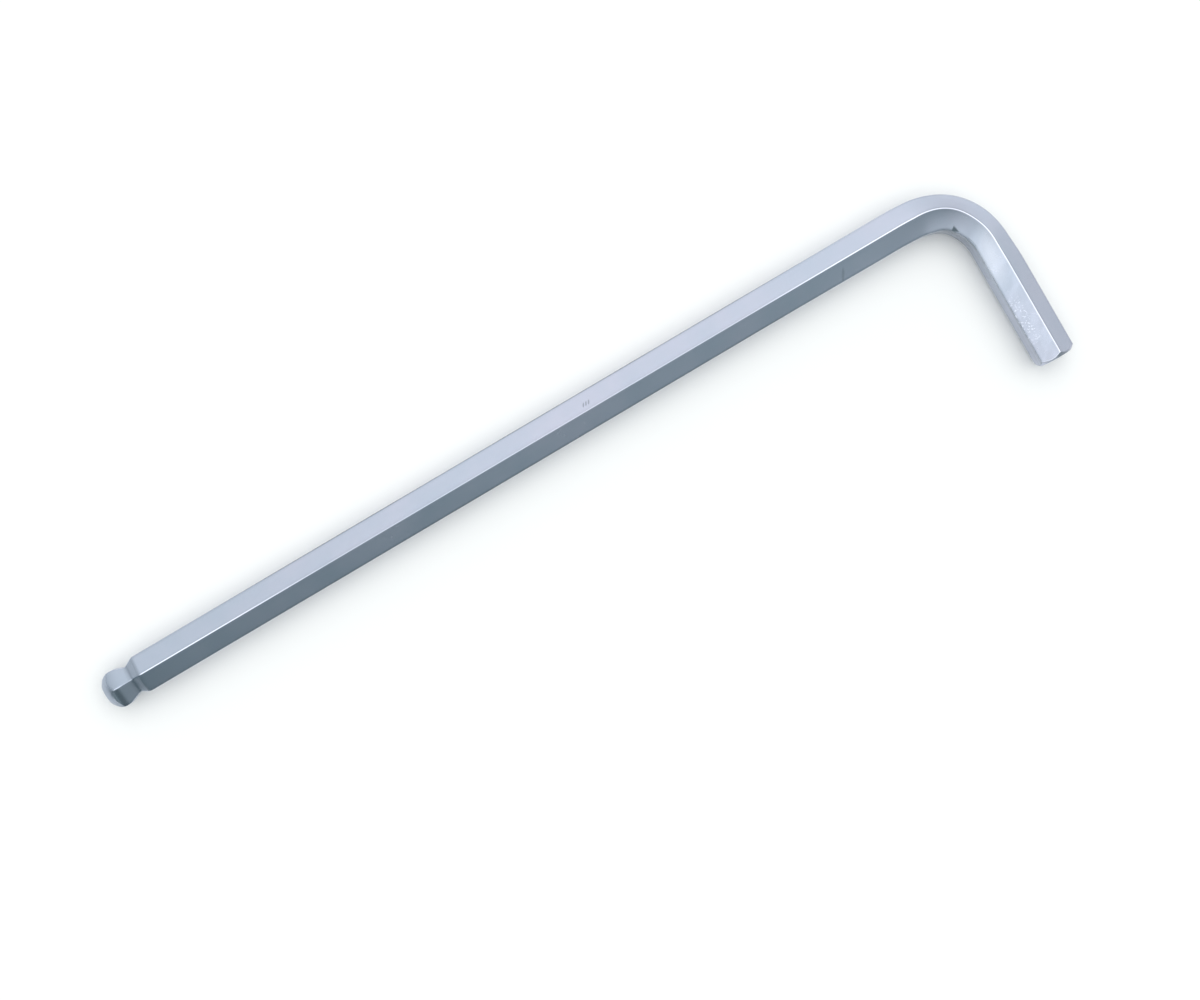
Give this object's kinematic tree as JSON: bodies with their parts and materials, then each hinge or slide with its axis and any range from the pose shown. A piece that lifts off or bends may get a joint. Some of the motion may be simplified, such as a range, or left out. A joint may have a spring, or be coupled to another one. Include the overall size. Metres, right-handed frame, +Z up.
{
  "type": "hex key",
  "caption": "Long-arm hex key bent to a right angle from hexagonal bar, with a milled ball end on the long arm and a chamfered plain end on the short arm.",
  "frame": {"origin": "on the ground under the middle of the key's bounding box, with the key lying on one of its long corners", "axes": "+X along the long arm from the ball end to the bend, -Y along the short arm to its plain end, +Z up, square to the plane of the bend"},
  "size_m": [0.2106, 0.045, 0.0092],
  "materials": {
    "satin_chrome": "satin plated steel with fine draw lines along the bar"
  },
  "bodies": {
    "root": {"hex_key": "satin_chrome"}
  },
  "joints": []
}
